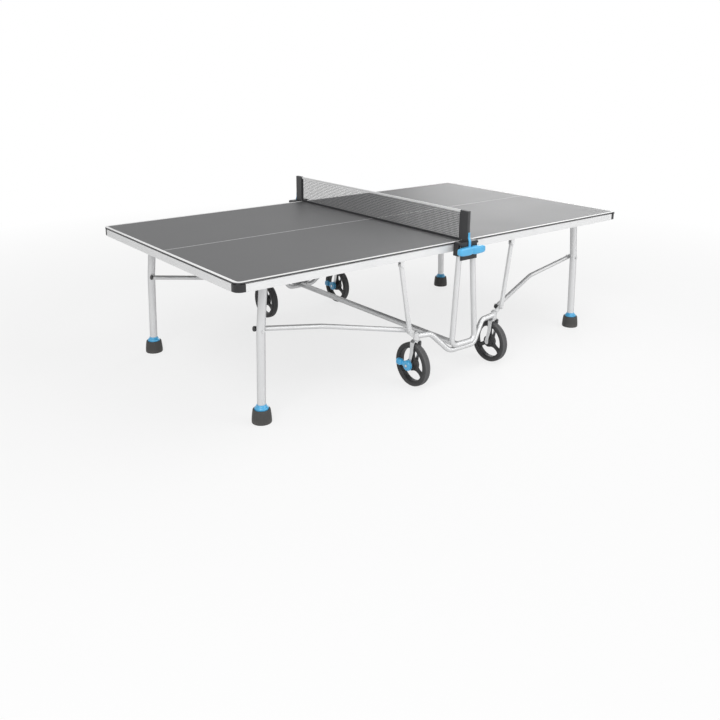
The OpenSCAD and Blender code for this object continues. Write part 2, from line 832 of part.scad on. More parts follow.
module lock_handle(near) {
    top = table_h - handle_drop;
    front_in = housing_out - front_t;
    color("royalblue") to_side(false, near) {
        for (s = [0, 1]) to_side(s == 1, false) along_x(1.5, handle_x)
            round_rect(handle_y, handle_y + handle_t, top - handle_h, top, handle_r);
        along_x(-2, 2)
            round_rect(handle_y, handle_y + handle_t - 3, top - handle_h + 3, top - 3, handle_r - 3);
        box(-tongue_x, tongue_x, handle_y, handle_y + tongue_t, top - handle_r, table_h + tongue_up);
        box(-lug_x, lug_x, front_in - lug_in, handle_y + handle_r, lug_z, lug_z + lug_h);
        box(-bar_x, bar_x, front_in - lug_in, front_in - 2, lug_z, lug_z + lug_h);
    }
}

// ---- casters ------------------------------------------------------------------------------------

module at_caster(left, near) {
    translate([(left ? -1 : 1) * caster_x, (near ? -1 : 1) * caster_y, 0]) children();
}

module fork(left, near, pedal) {
    arm_out = arm_x + arm_t;
    crown_z = crown_top_z - crown_h;
    crown_y = boss_r + 2;
    axle_end = pedal ? arm_out + pedal_t + 2 * part_gap : arm_out;
    color("silver") at_caster(left, near) {
        translate([0, 0, crown_top_z - 2]) cylinder(h = boss_top_z + nut_h - crown_top_z, r = stem_r);
        translate([0, 0, boss_top_z + part_gap]) cylinder(h = nut_h, r = nut_r, $fn = 6);
        intersection() {
            box(-arm_out, arm_out, -crown_y, crown_y + 6, crown_z, crown_top_z);
            translate([0, 4, crown_z]) cylinder(h = crown_h, r = arm_out + 4);
        }
        for (s = [-1, 1]) to_side(s < 0, false) along_x(arm_x, arm_out)
            taper([3, crown_top_z - crown_y - 2], [trail, axle_z], crown_y, arm_r);
        rod_x(trail, axle_z, -axle_end, arm_out, axle_r);
        rod_x(trail, axle_z, arm_out - 0.5, arm_out + 4, axle_r + 3);
        rod_x(trail, axle_z, -axle_end - 4, -axle_end, axle_r + 3);
    }
}

module at_wheel(left, near) {
    at_caster(left, near) translate([0, trail, axle_z]) rotate([0, 90, 0]) children();
}

module wheel(left, near) {
    rim_r = wheel_r - tyre_t - part_gap / 2;
    rim_w = tyre_w - 4;
    hub_w = 2 * arm_x - 2 * part_gap;
    spoke_t = 0.6 * tyre_w;
    color("lightgray") at_wheel(left, near) difference() {
        union() {
            rotate_extrude() rect(rim_r - rim_t, rim_r, -rim_w / 2, rim_w / 2);
            translate([0, 0, -rim_w / 2]) cylinder(h = rim_w, r = hub_r);
            translate([0, 0, -hub_w / 2]) cylinder(h = hub_w, r = 0.4 * hub_r);
            for (a = [60 : 120 : 300]) rotate(a) translate([0, -spoke_w / 2, -spoke_t / 2])
                cube([rim_r - rim_t / 2, spoke_w, spoke_t]);
        }
        cylinder(h = 2 * hub_w, r = axle_r + run, center = true);
    }
}

module tyre(left, near) {
    shoulder = 8;
    color("gray") at_wheel(left, near) rotate_extrude() {
        rect(wheel_r - tyre_t, wheel_r - shoulder, -tyre_w / 2, tyre_w / 2);
        rect(wheel_r - tyre_t, wheel_r, shoulder - tyre_w / 2, tyre_w / 2 - shoulder);
        for (s = [-1, 1]) translate([wheel_r - shoulder, s * (tyre_w / 2 - shoulder)]) circle(shoulder);
    }
}

module brake_pedal(left, near) {
    outer = arm_x + arm_t + part_gap + pedal_t;
    tip = [trail + pedal_l, axle_z + pedal_rise];
    pad_l = 0.29 * pedal_l;
    pad_t = 8;
    color("dodgerblue") at_caster(left, near) difference() {
        union() {
            along_x(-outer, pedal_t - outer) taper([trail, axle_z], tip, pedal_hub_r, pedal_tip_r);
            along_x(-outer - pad_t, pedal_t - outer)
                taper([tip[0] - pad_l, tip[1] - 0.1 * pad_l], tip, pedal_tip_r, pedal_tip_r);
        }
        rod_x(trail, axle_z, -outer - 1, 0, axle_r + run);
    }
}

// ---- drawing ------------------------------------------------------------------------------------

top_panel(true);  // left_top_panel
side_rail(true, true);  // left_near_side_rail
side_rail(true, false);  // left_far_side_rail
end_rail(true);  // left_end_rail
net_rail(true);  // left_net_rail
leg_rail(true);  // left_leg_rail
strut_rail(true);  // left_strut_rail
corner_caps(true);  // left_corner_caps
slide_blocks(true);  // left_slide_blocks
struts(true);  // left_struts
leg(true, true);  // left_near_leg
leg(true, false);  // left_far_leg
foot_collars(true);  // left_foot_collars
brace(true, true);  // left_near_brace
brace(true, false);  // left_far_brace
foot(true, true);  // left_near_foot
foot(true, false);  // left_far_foot
top_panel(false);  // right_top_panel
side_rail(false, true);  // right_near_side_rail
side_rail(false, false);  // right_far_side_rail
end_rail(false);  // right_end_rail
net_rail(false);  // right_net_rail
leg_rail(false);  // right_leg_rail
strut_rail(false);  // right_strut_rail
corner_caps(false);  // right_corner_caps
slide_blocks(false);  // right_slide_blocks
struts(false);  // right_struts
leg(false, true);  // right_near_leg
leg(false, false);  // right_far_leg
foot_collars(false);  // right_foot_collars
brace(false, true);  // right_near_brace
brace(false, false);  // right_far_brace
foot(false, true);  // right_near_foot
foot(false, false);  // right_far_foot
cross_tube();
frame_tube(true);  // near_frame_tube
frame_tube(false);  // far_frame_tube
guide_tube(true);  // near_guide_tube
guide_tube(false);  // far_guide_tube
caster_brackets();
post_housings();
net_posts();
net();
net_tape();
fork(true, true, true);  // near_left_fork
wheel(true, true);  // near_left_wheel
tyre(true, true);  // near_left_tyre
fork(false, true, false);  // near_right_fork
wheel(false, true);  // near_right_wheel
tyre(false, true);  // near_right_tyre
fork(true, false, false);  // far_left_fork
wheel(true, false);  // far_left_wheel
tyre(true, false);  // far_left_tyre
fork(false, false, true);  // far_right_fork
wheel(false, false);  // far_right_wheel
tyre(false, false);  // far_right_tyre
brake_pedal(true, true);  // near_left_brake_pedal
brake_pedal(false, false);  // far_right_brake_pedal
lock_handle(true);  // near_lock_handle
lock_handle(false);  // far_lock_handle
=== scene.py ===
"""Dresses the folding table-tennis table.

Every CAD part gets a finish. The net, wheels, forks, pedals, feet, caps and handles are modelled.
"""
import json
import math

import bmesh
import bpy
import numpy as np
from mathutils import Matrix, Vector


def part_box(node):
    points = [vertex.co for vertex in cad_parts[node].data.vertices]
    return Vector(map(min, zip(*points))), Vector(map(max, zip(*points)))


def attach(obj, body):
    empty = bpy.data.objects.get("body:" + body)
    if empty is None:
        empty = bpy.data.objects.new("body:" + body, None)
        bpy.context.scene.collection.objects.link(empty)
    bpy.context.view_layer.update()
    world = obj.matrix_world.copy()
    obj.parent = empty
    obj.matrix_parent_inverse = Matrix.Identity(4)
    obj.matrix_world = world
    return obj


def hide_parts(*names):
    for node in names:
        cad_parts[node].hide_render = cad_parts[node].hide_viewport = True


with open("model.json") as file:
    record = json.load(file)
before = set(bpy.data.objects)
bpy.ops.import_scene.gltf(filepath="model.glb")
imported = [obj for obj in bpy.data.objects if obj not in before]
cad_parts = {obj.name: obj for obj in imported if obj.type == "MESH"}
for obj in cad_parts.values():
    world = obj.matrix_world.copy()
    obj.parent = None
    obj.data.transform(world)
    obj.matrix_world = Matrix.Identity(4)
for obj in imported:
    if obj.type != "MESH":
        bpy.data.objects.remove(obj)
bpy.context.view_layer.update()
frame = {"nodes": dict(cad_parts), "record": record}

# ---- sizes in metres, from the frame where it has them -------------------------------------------

MM = 0.001
HALVES = ("left", "right")
SIDES = ("near", "far")
CORNERS = [(side, half) for side in SIDES for half in HALVES]


def low(node):
    """Lowest corner of a CAD node."""
    return np.array(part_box(node)[0])


def high(node):
    """Highest corner of a CAD node."""
    return np.array(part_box(node)[1])


def middle(node):
    """Middle of a CAD node's box."""
    return (low(node) + high(node)) / 2


TABLE_X = high("right_top_panel")[0]
TABLE_Y = high("right_top_panel")[1]
TABLE_Z = high("right_top_panel")[2]
CORNER_R = 35 * MM  # rounding of the top's corners
LINE_W = 17 * MM  # painted line along the edges
CENTRE_LINE_W = 6 * MM
NET_PITCH = 9.2 * MM  # one mesh of the net
TAPE_HEM = 2.5 * MM  # by this much the tape's lower edge is turned up
TRAIL = 22 * MM  # from the swivel's axis to the wheel's
TYRE = "near_right_tyre"
TREAD = (middle(TYRE)[0], (high(TYRE)[0] - low(TYRE)[0]) / 2 - 8 * MM)  # middle and half width
CROWN_TOP = 262 * MM  # top of a fork's crown above the floor
COLLAR_BASE = 66 * MM  # underside of a foot's collar above the floor
BRACE_OUT = (1163 * MM, 575 * MM, 461 * MM)  # pivot on the leg, in the right far quarter
BRACE_IN = (349 * MM, 714 * MM, 320 * MM)  # pivot on the strut
BRACE_BEND = (790 * MM, 396.4 * MM)  # x and z of the bend between them
BRACE_BEYOND = 18 * MM  # tube beyond each pivot


# ---- shader maths --------------------------------------------------------------------------------

class Val:
    """One shader socket. Arithmetic on it adds Math nodes to the same tree."""

    def __init__(self, mat, socket):
        self.mat = mat
        self.socket = socket

    def _math(self, op, *others):
        return self.mat.node("ShaderNodeMath", {"operation": op}, [self, *others])

    def __add__(self, other):
        return self._math("ADD", other)

    __radd__ = __add__

    def __sub__(self, other):
        return self._math("SUBTRACT", other)

    def __rsub__(self, other):
        return self.mat.node("ShaderNodeMath", {"operation": "SUBTRACT"}, [other, self])

    def __mul__(self, other):
        return self._math("MULTIPLY", other)

    __rmul__ = __mul__

    def __gt__(self, other):
        return self._math("GREATER_THAN", other)

    def __lt__(self, other):
        return self._math("LESS_THAN", other)

    def abs(self):
        return self._math("ABSOLUTE")

    def maximum(self, other):
        return self._math("MAXIMUM", other)

    def minimum(self, other):
        return self._math("MINIMUM", other)

    def sqrt(self):
        return self._math("SQRT")

    def sin(self):
        return self._math("SINE")

    def ramp(self, start, stop):
        """0 below start, 1 above stop, straight between."""
        ends = {"Value": self, "From Min": start, "From Max": stop}
        return self.mat.node("ShaderNodeMapRange", {"clamp": True}, ends, "Result")


class Mat:
    """A procedural material: a Principled shader and the nodes that feed it."""

    def __init__(self, name, color, rough, metal=0.0, **fixed):
        self.data = bpy.data.materials.new(name)
        self.data.use_nodes = True
        self.tree = self.data.node_tree
        self.shader = self.tree.nodes["Principled BSDF"]
        self.set("Base Color", (*color, 1.0))
        self.set("Roughness", rough)
        self.set("Metallic", metal)
        for key, value in fixed.items():
            self.set(key.replace("_", " "), value)
        self.place = self.node("ShaderNodeTexCoord", {}, {}, "Object")

    def node(self, kind, settings, inputs, output=0):
        """Adds one node: its settings first, then the values or links of its sockets."""
        made = self.tree.nodes.new(kind)
        for key, value in settings.items():
            setattr(made, key, value)
        pairs = inputs.items() if isinstance(inputs, dict) else enumerate(inputs)
        for key, value in pairs:
            if isinstance(value, Val):
                self.tree.links.new(value.socket, made.inputs[key])
            else:
                made.inputs[key].default_value = value
        return Val(self, made.outputs[output])

    def set(self, socket, value):
        """Sets or links one socket of the shader."""
        if isinstance(value, Val):
            self.tree.links.new(value.socket, self.shader.inputs[socket])
        else:
            self.shader.inputs[socket].default_value = value

    def xyz(self):
        """Object coordinates, one socket each."""
        return [self.node("ShaderNodeSeparateXYZ", {}, [self.place], i) for i in range(3)]

    def stretched(self, scale):
        """Object coordinates scaled by a vector, for grain that runs one way."""
        return self.node("ShaderNodeMapping", {}, {"Vector": self.place, "Scale": scale})

    def noise(self, scale, detail=2.0, place=None):
        """Noise from 0 to 1, with the given number of lumps per metre."""
        place = self.place if place is None else place
        settings = {"Vector": place, "Scale": scale, "Detail": detail}
        return self.node("ShaderNodeTexNoise", {}, settings, "Fac")

    def mix(self, mask, below, above):
        """One of two colours, by a mask."""
        def rgba(c):
            return c if isinstance(c, Val) else (*c, 1.0)
        made = self.tree.nodes.new("ShaderNodeMix")
        made.data_type = "RGBA"
        for key, value in ((0, mask), (6, rgba(below)), (7, rgba(above))):
            if isinstance(value, Val):
                self.tree.links.new(value.socket, made.inputs[key])
            else:
                made.inputs[key].default_value = value
        return Val(self, made.outputs[2])

    def bump(self, height, distance, strength=1.0):
        """Bump whose full height is the given distance, in metres."""
        settings = {"Height": height, "Distance": distance, "Strength": strength}
        self.set("Normal", self.node("ShaderNodeBump", {}, settings, "Normal"))


def tint(color, share):
    """A colour made lighter or darker by a share."""
    return tuple(min(1.0, c * share) for c in color)


def laminate():
    """Satin grey resin laminate, with painted lines along the edges and down the middle."""
    grey = (0.076, 0.077, 0.079)
    mat = Mat("grey_laminate", grey, 0.5, IOR=1.5)
    x, y, z = mat.xyz()
    round_x = (x.abs() - (TABLE_X - CORNER_R)).maximum(0.0)
    round_y = (y.abs() - (TABLE_Y - CORNER_R)).maximum(0.0)
    flat = (x.abs() - (TABLE_X - CORNER_R)).maximum(y.abs() - (TABLE_Y - CORNER_R))
    edge = (round_x * round_x + round_y * round_y).sqrt() + flat.minimum(0.0) - CORNER_R
    on_top = z > TABLE_Z - 0.5 * MM
    paint = edge.ramp(-LINE_W - 0.3 * MM, -LINE_W) * on_top
    centre = (1 - (y.abs() - CENTRE_LINE_W / 2).ramp(-0.2 * MM, 0.2 * MM)) * on_top
    grain = mat.noise(900.0, 3.0)
    cloud = mat.noise(3.0, 4.0)
    speckle = mat.noise(2500.0, 1.0).ramp(0.62, 0.72)
    tone = mat.mix(cloud, tint(grey, 0.93), tint(grey, 1.06))
    tone = mat.mix(speckle * 0.35, tone, tint(grey, 1.9))
    white = mat.mix(cloud, (0.86, 0.86, 0.86), (0.91, 0.91, 0.91))
    centre_tone = (0.56, 0.56, 0.565)
    tone = mat.mix(centre, tone, centre_tone)
    tone = mat.mix(paint, tone, white)
    # The panel's side, below its top 3 mm, is drawn dark with a faint noise; it makes the dark band
    # between the white line and the apron.
    side_dark_tone = mat.mix(mat.noise(400.0), (0.030, 0.030, 0.032), (0.055, 0.055, 0.058))
    side = (z < TABLE_Z - 3.0 * MM) * edge.ramp(-1.5 * MM, -0.5 * MM)
    mat.set("Base Color", mat.mix(side, tone, side_dark_tone))
    mat.set("Roughness", 0.44 + 0.08 * grain + 0.06 * cloud + 0.06 * paint + 0.25 * centre)
    mat.bump(grain + 0.25 * paint, 0.06 * MM, 0.5)
    return mat.data


def powder_coat(name, color, metal, rough, rim):
    """Silver powder coat: fine orange peel, slow changes of tone, sparse flakes and a darker rim."""
    mat = Mat(name, color, rough, metal, Specular_Tint=(rim, rim, rim, 1.0))
    cloud = mat.noise(9.0, 3.0)
    flake = mat.noise(5200.0, 0.0).ramp(0.58, 0.70)
    peel = mat.noise(650.0, 2.0)
    tone = mat.mix(cloud, tint(color, 0.95), tint(color, 1.04))
    mat.set("Base Color", mat.mix(flake * 0.15, tone, tint(color, 1.25)))
    mat.set("Roughness", rough - 0.05 + 0.10 * cloud + 0.05 * peel)
    mat.bump(peel, 0.03 * MM, 0.3)
    return mat.data


def moulded(name, color, rough, grain=700.0, depth=0.08, coat=0.0):
    """Moulded plastic: a leathery grain, slight flow marks and edges rubbed a little paler."""
    mat = Mat(name, color, rough)
    cloud = mat.noise(14.0, 4.0)
    texture = mat.noise(grain, 3.0)
    flow = mat.noise(60.0, 2.0, mat.stretched((1.0, 1.0, 0.2)))
    rubbed = mat.node("ShaderNodeNewGeometry", {}, {}, "Pointiness").ramp(0.53, 0.60)
    tone = mat.mix(cloud, tint(color, 0.86), tint(color, 1.16))
    tone = mat.mix(rubbed * 0.5, tone, tint(color, 1.5))
    mat.set("Base Color", tone)
    mat.set("Roughness", rough - 0.06 + 0.08 * flow + 0.10 * texture)
    if coat:
        mat.set("Coat Weight", coat)
        mat.set("Coat Roughness", 0.18)
    mat.bump(texture, depth * MM, 0.6)
    return mat.data


def rubber(name, color, dust, tread=None):
    """Matt rubber with a pitted skin, and dust near the floor.

    A tyre's tread, given as the middle and half width of its band along |X|, is worn paler.
    """
    mat = Mat(name, color, 0.72)
    x, y, z = mat.xyz()
    pits = mat.noise(1400.0, 2.0)
    cloud = mat.noise(22.0, 5.0)
    settled = (1 - z.ramp(0.0, 30 * MM)) * cloud.ramp(0.35, 0.75)
    tone = mat.mix(cloud, tint(color, 0.85), tint(color, 1.18))
    if tread:
        worn = 1 - ((x.abs() - tread[0]).abs() - tread[1]).ramp(0.0, 3 * MM)
        tone = mat.mix(worn * (0.7 + 0.3 * pits), tone, tint(color, 2.6))
    mat.set("Base Color", mat.mix(settled * 0.5, tone, dust))
    mat.set("Roughness", 0.62 + 0.22 * pits)
    mat.bump(pits + 0.5 * cloud, 0.12 * MM, 0.7)
    return mat.data


def woven(name, color, pitch, rough=0.85):
    """Woven tape: warp and weft ribs from two sine waves, with painted shade in their hollows, and
    uneven yarn.
    """
    mat = Mat(name, color, rough)
    x, y, z = mat.xyz()
    turns = 2 * math.pi / pitch
    warp = (y * turns).sin().abs()
    weft = (z * turns).sin().abs()
    yarn = mat.noise(320.0, 3.0)
    weave_height_and_shade = warp * weft
    # Painted shade and highlight: where the weave is low the colour is drawn darker, and on its
    # crests lighter, along the same ribs as the bump.
    tone = mat.mix(weave_height_and_shade, tint(color, 0.93), tint(color, 1.03))
    mat.set("Base Color", mat.mix(yarn * 0.25, tone, tint(color, 0.93)))
    mat.set("Roughness", rough - 0.08 + 0.12 * yarn)
    mat.bump(weave_height_and_shade + 0.3 * yarn, 0.15 * MM, 0.5)
    return mat.data


SILVER = (0.72, 0.723, 0.728)
MATS = {
    "top_laminate": laminate(),
    "apron_paint": powder_coat("apron_silver", (0.80, 0.803, 0.806), 0.3, 0.42, 0.5),
    "frame_paint": powder_coat("frame_silver", SILVER, 0.6, 0.42, 0.02),
    "fork_metal": powder_coat("fork_silver", (0.68, 0.685, 0.69), 0.8, 0.28, 0.05),
    "black_plastic": moulded("black_plastic", (0.013, 0.013, 0.014), 0.44),
    "post_plastic": moulded("post_plastic", (0.036, 0.036, 0.038), 0.52, 900.0),
    "blue_plastic": moulded("blue_plastic", (0.072, 0.44, 0.78), 0.30, 1200.0, 0.03, 0.5),
    "wheel_plastic": moulded("wheel_black", (0.020, 0.020, 0.021), 0.48),
    "foot_rubber": rubber("foot_rubber", (0.062, 0.061, 0.059), (0.16, 0.15, 0.14)),
    "tyre_rubber": rubber("tyre_rubber", (0.046, 0.046, 0.047), (0.17, 0.165, 0.16), TREAD),
    "net_mesh": woven("net_yarn", (0.035, 0.035, 0.038), 1.2 * MM),
    "net_tape": woven("white_tape", (0.95, 0.95, 0.95), 1.6 * MM),
}
slot_of = {part["node"]: part["material_slot"] for part in frame["record"]["subparts"]}
for node_name, node_object in frame["nodes"].items():
    node_object.data.materials.clear()
    node_object.data.materials.append(MATS[slot_of[node_name]])


# ---- surfaces ------------------------------------------------------------------------------------

def add_piece(name, shape, material, body, crease=35.0):
    """Makes one mesh object from (points, faces), closed and facing outwards, riding on a body."""
    points, faces = shape
    mesh = bpy.data.meshes.new(name)
    mesh.from_pydata(np.asarray(points, float).tolist(), [], [list(map(int, f)) for f in faces])
    work = bmesh.new()
    work.from_mesh(mesh)
    bmesh.ops.remove_doubles(work, verts=work.verts, dist=1e-6)
    bmesh.ops.recalc_face_normals(work, faces=work.faces)
    work.to_mesh(mesh)
    work.free()
    mesh.polygons.foreach_set("use_smooth", [True] * len(mesh.polygons))
    mesh.set_sharp_from_angle(angle=math.radians(crease))
    mesh.materials.append(MATS[material])
    piece = bpy.data.objects.new(name, mesh)
    bpy.context.scene.collection.objects.link(piece)
    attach(piece, body)
    return piece


def squared(wave, power):
    """A sine or cosine raised to 2 / power with its sign kept, which squares a circle."""
    return np.sign(wave) * np.abs(wave) ** (2 / power)


def tube_faces(rows, cols):
    """Faces of a tube of rings with a flat face at both ends."""
    last = (rows - 1) * cols
    ends = [list(range(cols)), [last + k for k in range(cols - 1, -1, -1)]]
    return grid_faces(rows, cols, False, True) + ends


def grid_faces(rows, cols, wrap_rows=False, wrap_cols=False):
    """Four-sided faces of a grid of points stored row by row, joined round where asked."""
    i = np.arange(rows if wrap_rows else rows - 1)
    j = np.arange(cols if wrap_cols else cols - 1)
    a, b = np.meshgrid(i, j, indexing="ij")
    a2, b2 = (a + 1) % rows, (b + 1) % cols
    quads = np.stack([a * cols + b, a2 * cols + b, a2 * cols + b2, a * cols + b2], -1)
    return quads.reshape(-1, 4).tolist()


def lathe(profile, turns, closed=True):
    """Turns a profile of (radius, height) about Z: x = r cos t, y = r sin t, z = h.

    A profile that is not closed begins and ends on the axis.
    """
    profile = np.asarray(profile, float)
    t = np.linspace(0, 2 * np.pi, turns, endpoint=False)
    r, h = profile[:, 0][None, :], profile[:, 1][None, :]
    points = np.stack([r * np.cos(t)[:, None], r * np.sin(t)[:, None], h + 0 * t[:, None]], -1)
    return points.reshape(-1, 3), grid_faces(turns, len(profile), True, closed)


def swept_tube(path, radius, sides):
    """Carries a circle along a path: p + r (n cos t + b sin t), with n and b square to the path."""
    path = np.asarray(path, float)
    radius = np.broadcast_to(np.asarray(radius, float), (len(path),))
    ahead = np.gradient(path, axis=0)
    ahead /= np.linalg.norm(ahead, axis=1)[:, None]
    up = np.array([0.0, 0.0, 1.0]) if abs(ahead[0][2]) < 0.9 else np.array([1.0, 0.0, 0.0])
    n = np.cross(ahead, up)
    n /= np.linalg.norm(n, axis=1)[:, None]
    b = np.cross(n, ahead)
    t = np.linspace(0, 2 * np.pi, sides, endpoint=False)
    ring = n[:, None] * np.cos(t)[None, :, None] + b[:, None] * np.sin(t)[None, :, None]
    points = path[:, None] + radius[:, None, None] * ring
    return points.reshape(-1, 3), tube_faces(len(path), sides)


def rounded_block(lo, hi, power, rows=24, cols=48):
    """Superellipsoid between two corners: every sine and cosine is raised to 2 / power."""
    lo, hi = np.asarray(lo, float), np.asarray(hi, float)
    v = np.linspace(-np.pi / 2, np.pi / 2, rows + 2)[1:-1][:, None]
    u = np.linspace(0, 2 * np.pi, cols, endpoint=False)[None, :]
    x = squared(np.sin(v), power) + 0 * u
    y = squared(np.cos(v), power) * squared(np.cos(u), power)
    z = squared(np.cos(v), power) * squared(np.sin(u), power)
    points = np.stack([x, y, z], -1).reshape(-1, 3)
    poles = np.array([[-1.0, 0, 0], [1.0, 0, 0]])
    points = np.concatenate([points, poles])
    count = rows * cols
    faces = grid_faces(rows, cols, False, True)
    faces += [[count, k, (k + 1) % cols] for k in range(cols)]
    top = count - cols
    faces += [[count + 1, top + (k + 1) % cols, top + k] for k in range(cols)]
    return (lo + hi) / 2 + points * (hi - lo) / 2, faces


def joined(parts):
    """Joins several (points, faces) shells into one."""
    points, faces, start = [], [], 0
    for part_points, part_faces in parts:
        points.append(np.asarray(part_points, float))
        faces += [[start + int(k) for k in face] for face in part_faces]
        start += len(part_points)
    return np.concatenate(points), faces


def rounded_bar(lo, hi, power=5.0, sides=20):
    """Superellipse section carried along the longest side, with a quarter circle at both ends."""
    lo, hi = np.asarray(lo, float), np.asarray(hi, float)
    size = hi - lo
    along = int(np.argmax(size))
    a, b = [(along + 1) % 3, (along + 2) % 3]
    edge = min(size[a], size[b]) * 0.45
    close = edge * (1 - np.cos(np.linspace(0, np.pi / 2, 6)))
    between = np.linspace(edge, size[along] - edge, 24)[1:-1]
    t = np.concatenate([close, between, (size[along] - close)[::-1]])
    depth = np.minimum(t, size[along] - t)
    quarter = edge - np.sqrt(np.maximum(edge ** 2 - (edge - depth) ** 2, 0))
    inset = np.where(depth < edge, quarter, 0) * 0.8
    turn = np.linspace(0, 2 * np.pi, sides, endpoint=False)
    points = np.zeros((len(t), sides, 3))
    points[..., along] = (lo[along] + t)[:, None]
    for axis, wave in ((a, np.cos(turn)), (b, np.sin(turn))):
        half = (size[axis] / 2 - inset)[:, None]
        points[..., axis] = (lo[axis] + hi[axis]) / 2 + half * squared(wave, power)[None, :]
    return points.reshape(-1, 3), tube_faces(len(t), sides)


# ---- the net -------------------------------------------------------------------------------------


def net_mesh(z_top):
    """Knotted mesh: columns of cord across rows of cord, each swelling where they cross."""
    y0, y1 = low("net")[1], high("net")[1]
    z0, z1 = low("net")[2], z_top
    cord_r = 1.1 * MM
    ys = np.linspace(y0 + 2 * MM, y1 - 2 * MM, int(round((y1 - y0) / NET_PITCH)) + 1)
    zs = np.linspace(z0 + 6 * MM, z1, int(round((z1 - z0) / NET_PITCH)))

    def shape(y, z):
        """Point of the slack mesh: it sags by a cosine of width and bows by sines of both."""
        rise = np.sin(np.pi * np.clip((z - z0) / (z1 - z0), 0, 1))
        sag = 1.3 * MM * np.cos(np.pi * y / (y1 - y0)) * rise
        sag = sag + 0.3 * MM * np.sin(41 * y + 60 * z) * rise
        return np.stack([0.8 * MM * rise * np.sin(5.3 * y + 0.4), y + 0 * z, z + 0 * y - sag], -1)

    def stations(points):
        """Three stations at each crossing, so that the cord swells there."""
        offsets = np.array([-1.6, 0.0, 1.6]) * MM
        return (points[:, None] + offsets[None, :]).ravel()

    shells = []
    for number, y in enumerate(ys):
        z = stations(zs)
        path = shape(y + 0.3 * MM * np.sin(170 * z + 2 * number), z)
        shells.append(swept_tube(path, cord_r * np.tile([0.95, 1.6, 0.95], len(zs)), 5))
    for z in zs:
        path = shape(stations(ys), z)
        shells.append(swept_tube(path, cord_r * np.tile([0.95, 1.5, 0.95], len(ys)), 5))
    return joined(shells)


def net_tape():
    """Tape folded over the net's top: a superellipse loop carried along Y, bulging by two sines."""
    lo, hi = low("net_tape"), high("net_tape")
    y = np.linspace(lo[1] + 1 * MM, hi[1] - 1 * MM, 260)
    turn = np.linspace(0, 2 * np.pi, 28, endpoint=False)
    bulge = 0.90 + 0.04 * np.sin(23 * y) + 0.03 * np.sin(61 * y + 1)
    dip = 0.6 * MM * (np.sin(2.1 * y + 1.6) - 1)
    px = (hi[0] - lo[0]) / 2 * squared(np.cos(turn), 3.0)
    pz = (hi[2] - lo[2] - TAPE_HEM) / 2 * squared(np.sin(turn), 5.0)
    points = np.stack([px[None, :] * bulge[:, None], y[:, None] + 0 * turn[None, :],
                       (lo[2] + hi[2] + TAPE_HEM) / 2 + pz[None, :] + dip[:, None]], -1)
    return points.reshape(-1, 3), tube_faces(len(y), len(turn))


def stitches():
    """Small arched stitches along the tape's lower edge on both faces."""
    lo, hi = low("net_tape"), high("net_tape")
    t = np.linspace(0, 1, 5)
    shells = []
    for face in (-1, 1):
        for start in np.arange(lo[1] + 6 * MM, hi[1] - 8 * MM, 7.5 * MM):
            x = face * ((hi[0] - lo[0]) / 2 - 0.55 * MM + 0.45 * MM * np.sin(np.pi * t))
            y = start + 4.8 * MM * t
            z = lo[2] + TAPE_HEM + 2.4 * MM + 0.6 * MM * (np.sin(2.1 * start + 1.6) - 1) + 0 * t
            shells.append(swept_tube(np.stack([x, y, z], -1), 0.35 * MM, 5))
    return joined(shells)


def make_net():
    """Mesh, top tape with its stitches, bottom band and the sleeves at both posts."""
    lo, hi = low("net"), high("net")
    mesh = add_piece("net_cords", net_mesh(hi[2] + TAPE_HEM + 2 * MM), "net_mesh", "trolley")
    tape = add_piece("net_top_tape", net_tape(), "net_tape", "trolley")
    sewn = add_piece("net_stitches", stitches(), "net_tape", "trolley")
    thin, wide, rim = 1.6 * MM, 1.8 * MM, 12 * MM
    foot, brow = TABLE_Z + 0.7 * MM, lo[2] + 8 * MM
    bars = [rounded_bar((-thin, lo[1] + MM, foot), (thin, hi[1] - MM, brow))]
    for start in (lo[1], hi[1] - rim):
        bars.append(rounded_bar((-wide, start, lo[2] + MM), (wide, start + rim, hi[2] + MM)))
    bands = add_piece("net_bands", joined(bars), "net_mesh", "trolley")
    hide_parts("net")
    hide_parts("net_tape")


# ---- wheels, forks and pedals --------------------------------------------------------------------

def on_axle(points, axle):
    """Lays a shape turned about Z onto an axle along X: (x, y, z) goes to (z, y, -x)."""
    points = np.asarray(points, float)
    return np.stack([points[:, 2], points[:, 1], -points[:, 0]], -1) + axle


def soft_profile(corners, radius, steps=5):
    """Profile through corners, each rounded by a quadratic between two cut points."""
    corners = np.asarray(corners, float)
    out = []
    for before, here, after in zip(np.roll(corners, 1, 0), corners, np.roll(corners, -1, 0)):
        back, ahead = before - here, after - here
        cut = min(radius, 0.45 * np.linalg.norm(back), 0.45 * np.linalg.norm(ahead))
        start = here + back / np.linalg.norm(back) * cut
        stop = here + ahead / np.linalg.norm(ahead) * cut
        for t in np.linspace(0, 1, steps):
            out.append((1 - t) ** 2 * start + 2 * t * (1 - t) * here + t ** 2 * stop)
    return np.array(out)


def spoke(angle, r0, r1):
    """Spoke from hub to rim, 22 + 34 b^3 mm wide and 14 + 12 b^2 mm deep, where b = |2 s - 1|."""
    rows, cols = 24, 28
    s = np.linspace(0, 1, rows)[:, None]
    u = np.linspace(0, 2 * np.pi, cols, endpoint=False)[None, :]
    b = np.abs(2 * s - 1)
    r = r0 + (r1 - r0) * s + 0 * u
    side = (22 + 34 * b ** 3) / 2 * MM * squared(np.sin(u), 4.0)
    axial = (14 + 12 * b ** 2) / 2 * MM * squared(np.cos(u), 4.0)
    a = math.radians(angle)
    x, y = r * math.cos(a) - side * math.sin(a), r * math.sin(a) + side * math.cos(a)
    return np.stack([x, y, axial], -1).reshape(-1, 3), tube_faces(rows, cols)


